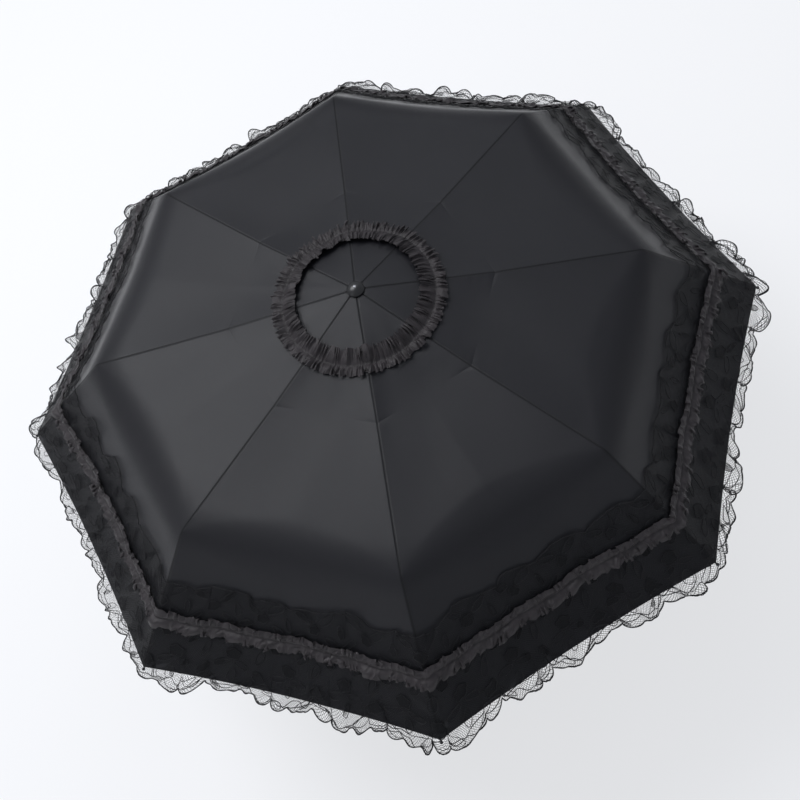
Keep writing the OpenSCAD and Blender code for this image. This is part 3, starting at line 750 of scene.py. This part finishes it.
def pleated(cover, b, v, pleats, seed, station, lifts, stitch):
    """A ribbon gathered on one stitched line. With e the share of the way from that line to an edge, the
    pleats have the phase 2 pi pleats b / ribs plus a random walk that changes with e, so that pleats fork and
    lean. Each is a puff of |sin(phase / 2)| to the power 0.6, with a narrow crease beside it. The lift is the
    edge's own rise plus the puff plus a finer crumple, the cloth slides sideways with sin phase so that folds
    lap, and the puffs reach further out than the creases."""
    e = np.abs(v - stitch) / np.where(v < stitch, stitch, 1 - stitch)
    side = np.where(v < stitch, -1.0, 1.0)
    few, many = pleats // 8, pleats // 2
    phase = 2 * math.pi * pleats * b / RIBS + 2.4 * wander(b, seed, few, many, 18)
    other = wander(b, seed + 1, few, many, 12) * side + wander(b, seed + 7, few, many, 12)
    phase = phase + np.minimum(2.2 * e, 1) * (0.9 * side + 1.5 * other)
    phase = phase + 0.8 * e * wander(b, seed + 8, few, pleats, 9)
    size = np.clip(0.85 + 0.45 * wander(b + 0.02 * side, seed + 2, few, many, 12), 0.3, 1.5)
    puff = np.abs(np.sin(phase / 2)) ** 0.6
    curl = np.clip(0.6 + 0.5 * wander(b, seed + 3, few, pleats // 3, 8), 0, 1.4)
    rise = np.where(v < stitch, lifts[0], lifts[1])
    crumple = wander(b + 0.06 * v, seed + 5, pleats, 3 * pleats, 14)
    crumple = crumple * wander(b - 0.05 * v, seed + 6, few, pleats, 8)
    full = np.sin(math.pi / 2 * np.minimum(1.5 * e, 1)) * (1 - 0.35 * e * e)
    lift = RIBBON_HELD + rise * e ** 1.5 * (0.35 + 0.75 * curl) + RIBBON_BODY * full
    lift = lift + lifts[2] * (0.10 + full) * (puff - 0.3) * size
    lift = np.maximum(lift + RIBBON_CRUMPLE * crumple * (0.3 + e), RIBBON_LEAST)
    slide = 0.32 * RIBS / pleats * np.sin(phase + 0.5) * (0.1 + 0.9 * e) * size
    ragged = RIBBON_RAGGED * wander(b, seed + 4, few, pleats, 10)
    spread = side * e * (RIBBON_SCALLOP * (puff - 0.8) * size + ragged)
    return cover.place(b + slide, station(b + slide, v) + spread, lift)


class PARASOL_OT_ruffles(bpy.types.Operator):
    """Pleated ribbons: one round the crown and one over the lace's gather line"""
    bl_idname = "parasol.ruffles"
    bl_label = "Pleated ribbons"
    ROWS = 21
    LIFTED = 0.001  # width that the ribbon's rise off the cloth takes up

    def execute(self, context):
        z = context.scene.parasol_ruffles
        cover = Cover(context.scene.parasol_cover)
        material = ribbon_finish(tuple(z.colour))

        def crown_station(b, v):
            """A true circle: the station on the ribs grows as the chord dips towards the shaft."""
            _, t, _ = cover.plan(b)
            dip = np.sqrt(1 - 2 * t * (1 - t) * (1 - math.cos(TURN)))
            return cover.radius_station((z.crown_from + z.crown_width * v) / dip)

        def skirt_station(b, v):
            return cover.knee_s + z.skirt_from + z.skirt_width * v + 0.0016 * wander(b, 91, 9, 60)

        # name, body, panel under it, pleats, cells a pleat, seed, place, width, rise of the upper edge, of
        # the lower edge and of the puffs, place of the stitched line, and height of what it lies on
        kinds = (
            ("crown_ribbon", "top_rib", "canopy_top", z.crown_pleats, 16, 71, crown_station, z.crown_width,
             (0.0045, 0.0006, 0.0050), 0.60, 0.0),
            ("hem_ribbon", "tip_rib", "canopy_tip", z.skirt_pleats, 11, 81, skirt_station, z.skirt_width,
             (0.0, 0.0010, 0.0044), 0.48, 0.0007))
        for name, body, under, pleats, cells, seed, station, width, lifts, stitch, base in kinds:
            for i in range(1, RIBS + 1):
                b = (1 - i) + np.linspace(-0.5, 0.5, pleats // RIBS * cells + 1)
                bb, vv = np.meshgrid(b, np.linspace(0, 1, self.ROWS))
                outer = pleated(cover, bb, vv, pleats, seed, station, lifts, stitch)
                outer = outer + cover.normal(bb, station(bb, vv)) * base
                uv = np.stack([bb * 0.3, vv * width], -1)
                # the stitch mark, which the ribbon's finish paints nearly black as painted shade in the pinch
                # of the gather line
                mark = np.exp(-((vv - stitch) * width / 0.0009) ** 2)
                piece = shell(f"{name}_{i}", outer, grid_normals(outer), z.thickness, uv, {"stitch": mark})
                wear(piece, material)
                fold_away(piece, f"{body}_{i}")
                if i == 1:
                    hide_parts(name)
        return {"FINISHED"}


class PARASOL_OT_lace(bpy.types.Operator):
    """Lace band: a gathered net with worked figures, and the cord that outlines them"""
    bl_idname = "parasol.lace"
    bl_label = "Lace band"
    COLUMNS, ROWS = 190, 48
    FIGURE_CELLS, CORD_CELLS = 26, 420
    INSET = 0.0012  # distance of the border cords from the edges
    FLATNESS = 0.7  # height of a cord as a share of its width

    def execute(self, context):
        z = context.scene.parasol_lace
        lace = Lace(Cover(context.scene.parasol_cover), z)
        net, cord = lace_finish(tuple(z.colour)), thread_finish(tuple(z.colour))
        height = lace.height
        turn = np.linspace(0, 2 * math.pi, self.FIGURE_CELLS, endpoint=False)
        for i in range(1, RIBS + 1):
            first = (1 - i) - 0.5
            b = (1 - i) + np.linspace(-0.5, 0.5, self.COLUMNS)
            bb, tt = np.meshgrid(b, np.linspace(0, 1, self.ROWS))
            outer = lace.point(bb, tt)
            uv = np.stack([bb * lace.side, tt * height], -1)
            piece = shell(f"lace_{i}", outer, grid_normals(outer), z.thickness, uv,
                          {"worked": lace.worked(bb, tt)})
            wear(piece, net)

            # outlines of the figures whose middle lies on this piece
            outlines = []
            for figure in lace.figures():
                k = np.arange(-RIBS * lace.per * 2, RIBS * lace.per * 2)
                mid = (k + figure[0]) / lace.per
                k = k[(mid >= first) & (mid < first + 1)]
                x, y = lace.outline(figure, turn)
                up = np.broadcast_to(1 - y / height, (len(k), len(turn)))
                outlines.append(np.stack([(k[:, None] * lace.pitch + x) / lace.side, up], -1))

            # the borders' cords, and two threads that swing to and from the lower one
            run = np.linspace(first, first + 1, self.CORD_CELLS)
            swing = 0.0075 + 0.0048 * np.sin(2 * math.pi * run * lace.per + 1.6 * wander(run, 64, 9, 40))
            weave = 0.0135 + 0.0070 * np.sin(3 * math.pi * run * lace.per + 2.2 * wander(run, 65, 9, 40))
            lower = [1 - self.INSET / height + 0 * run]
            others = [1 - swing / height, 1 - weave / height, self.INSET / height + 0 * run]
            kinds = ((np.concatenate(outlines), z.thread, True),
                     (np.stack([np.stack([run, t], -1) for t in lower]), z.cord, False),
                     (np.stack([np.stack([run, t], -1) for t in others]), z.thread * 1.2, False))
            points, faces = [], []
            for path, wide, closed in kinds:
                more, extra = self.cord(lace, path, wide, closed)
                faces.append(extra + sum(map(len, points)))
                points.append(more)
            line = make_mesh(f"lace_cord_{i}", np.concatenate(points), np.concatenate(faces))
            wear(line, cord)
            for thing in (piece, line):
                fold_away(thing, f"tip_rib_{i}")
            if i == 1:
                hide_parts("lace_skirt")
        return {"FINISHED"}

    def cord(self, lace, path, wide, closed):
        """Carries a cord along paths given in b and t."""
        b, t = path[..., 0], path[..., 1]
        centre = lace.point(b, t, wide * 0.25)
        step = 0.0015
        across = lace.point(b + step, t) - lace.point(b - step, t)
        down = lace.point(b, t + step) - lace.point(b, t - step)
        return tubes(centre, unit(np.cross(down, across)), wide, wide * self.FLATNESS, closed)


class PARASOL_OT_frame_finish(bpy.types.Operator):
    """Finish of the ribs, stretchers, rods, shaft, crown, runner and handle"""
    bl_idname = "parasol.frame_finish"
    bl_label = "Frame finish"

    def execute(self, context):
        channel = metal_finish("rib_enamel", (0.045, 0.045, 0.048), 0.26, (1, 1, 0.25), metal=0.0)
        wire = metal_finish("rib_wire_enamel", (0.045, 0.045, 0.048), 0.24, (1, 1, 0.2), metal=0.0)
        plate = metal_finish("plated_finish", (0.68, 0.68, 0.70), 0.16, (1, 1, 1))
        tube = metal_finish("shaft_steel_finish", (0.60, 0.61, 0.63), 0.24, (1, 1, 0.04))
        cap = plastic_finish("cap_plastic_finish", (0.012, 0.012, 0.013), 0.36, 900.0, 0.15, 0.08)
        moulded = plastic_finish("moulded_plastic_finish", (0.020, 0.020, 0.022), 0.42, 1400.0, 0.8)
        bush = plastic_finish("bush_plastic_finish", (0.70, 0.69, 0.66), 0.45, 1200.0, 0.5)
        grip = plastic_finish("grip_plastic_finish", (0.017, 0.017, 0.018), 0.46, 700.0, 1.0, 0.1)
        finish = {"handle_grip": grip, "handle_collar": plate, "end_disc": plate, "cross_pin": plate,
                  "lower_tube": tube, "middle_tube": tube, "upper_tube": tube,
                  "lower_bush": bush, "middle_bush": bush, "crown_block": moulded, "runner": moulded,
                  "crown_wire": plate, "runner_wire": plate, "runner_catch": plate,
                  "finial_cap": cap, "finial_pin": plate}
        for i in range(1, RIBS + 1):
            finish |= {f"top_rib_{i}": channel, f"mid_rib_{i}": channel, f"tip_rib_{i}": wire,
                       f"stretcher_{i}": channel, f"pull_rod_{i}": wire}
        for name, thing in frame["nodes"].items():
            if name in finish:
                thing.data.materials.clear()
                thing.data.materials.append(finish[name])
            elif not thing.hide_render:
                raise RuntimeError(f"{name} has no finish and nothing stands for it")
        return {"FINISHED"}


def pose(right, up, back, place):
    """The matrix of a light or camera, whose columns are its own three ways and its place."""
    matrix = np.eye(4)
    matrix[:3] = np.stack([right, up, back, place], -1)
    return Matrix(matrix.tolist())


class PARASOL_OT_stage(bpy.types.Operator):
    """Pale floor, soft lights and the camera"""
    bl_idname = "parasol.stage"
    bl_label = "Stage"

    REACH = 12.0  # half the width of the floor
    CLEAR = 0.0005  # gap under the handle
    SKY, SKY_LIGHT = (0.88, 0.92, 1.0, 1), 0.42
    # the camera's place, and its own ways right and back
    EYE = (0.1430, -0.6829, 1.6077)
    EYE_RIGHT = (0.9757, -0.1337, -0.1734)
    EYE_BACK = (0.0952, -0.4541, 0.8858)
    SENSOR = 36

    def execute(self, context):
        scene = context.scene
        z = scene.parasol_stage
        span = np.linspace(-self.REACH, self.REACH, 3)
        grid = np.stack(np.meshgrid(span, span), -1)
        points = np.concatenate([grid, np.full((3, 3, 1), CAD_BOX[0].z - self.CLEAR)], -1)
        index = np.arange(9).reshape(3, 3)
        faces = np.stack([index[:-1, :-1], index[:-1, 1:], index[1:, 1:], index[1:, :-1]], -1)
        floor = make_mesh("floor", points, faces)
        floor.data.materials.append(floor_finish(tuple(z.floor), z.glow))

        world = bpy.data.worlds.new("studio")
        world.use_nodes = True
        sky = world.node_tree.nodes["Background"]
        sky.inputs["Color"].default_value = self.SKY
        sky.inputs["Strength"].default_value = self.SKY_LIGHT
        scene.world = world

        for name, place, aim, size, power, tint in (
                ("key_light", (-1.27, 0.91, 2.80), (0, 0, 0.5), 1.6, z.key, (0.965, 0.975, 1.0)),
                ("fill_light", (-2.3, -1.7, 2.0), (0, 0, 0.4), 1.6, z.fill, (0.95, 0.97, 1.0)),
                ("back_light", (0.30, 1.75, 2.40), (0, 0, 0.5), 0.9, z.back, (0.95, 0.97, 1.0))):
            self.panel(scene, name, place, aim, size, power, tint)

        camera = bpy.data.objects.new("camera", bpy.data.cameras.new("camera"))
        scene.collection.objects.link(camera)
        back = unit(np.array(self.EYE_BACK))
        right = np.array(self.EYE_RIGHT)
        right = unit(right - back * (right @ back))
        camera.matrix_world = pose(right, np.cross(back, right), back, self.EYE)
        camera.data.sensor_width = self.SENSOR
        camera.data.lens = z.lens
        camera.data.clip_start, camera.data.clip_end = 0.01, 100
        scene.camera = camera
        scene.view_settings.view_transform = "Standard"
        return {"FINISHED"}

    def panel(self, scene, name, place, aim, size, power, tint):
        """A square soft light that faces the parasol."""
        data = bpy.data.lights.new(name, "AREA")
        data.shape, data.size, data.energy, data.color = "SQUARE", size, power, tint
        light = bpy.data.objects.new(name, data)
        scene.collection.objects.link(light)
        back = unit(np.array(place, float) - np.array(aim, float))
        right = unit(np.cross([0, 0, 1.0], back))
        light.matrix_world = pose(right, np.cross(back, right), back, place)


# ---------------------------------------------------------------- add-on

GROUPS = {"parasol_cover": ParasolCover, "parasol_ruffles": ParasolRuffles,
          "parasol_lace": ParasolLace, "parasol_stage": ParasolStage}
STEPS = (PARASOL_OT_cover, PARASOL_OT_ruffles, PARASOL_OT_lace, PARASOL_OT_frame_finish, PARASOL_OT_stage)


class PARASOL_PT_panel(bpy.types.Panel):
    """Sizes, colours and steps of the parasol"""
    bl_label = "Parasol"
    bl_idname = "PARASOL_PT_panel"
    bl_space_type = "VIEW_3D"
    bl_region_type = "UI"
    bl_category = "Parasol"

    def draw(self, context):
        for name, group in GROUPS.items():
            box = self.layout.box()
            box.label(text=name.removeprefix("parasol_").capitalize())
            for key in group.__annotations__:
                box.prop(getattr(context.scene, name), key)
        for step in STEPS:
            self.layout.operator(step.bl_idname)


def register():
    for made in (*GROUPS.values(), *STEPS, PARASOL_PT_panel):
        bpy.utils.register_class(made)
    for name, group in GROUPS.items():
        setattr(bpy.types.Scene, name, PointerProperty(type=group))


def unregister():
    for name in GROUPS:
        delattr(bpy.types.Scene, name)
    for made in (PARASOL_PT_panel, *reversed(STEPS), *GROUPS.values()):
        bpy.utils.unregister_class(made)


def main():
    register()
    bpy.ops.parasol.cover()
    bpy.ops.parasol.ruffles()
    bpy.ops.parasol.lace()
    bpy.ops.parasol.frame_finish()
    bpy.ops.parasol.stage()


if __name__ == "__main__":
    main()
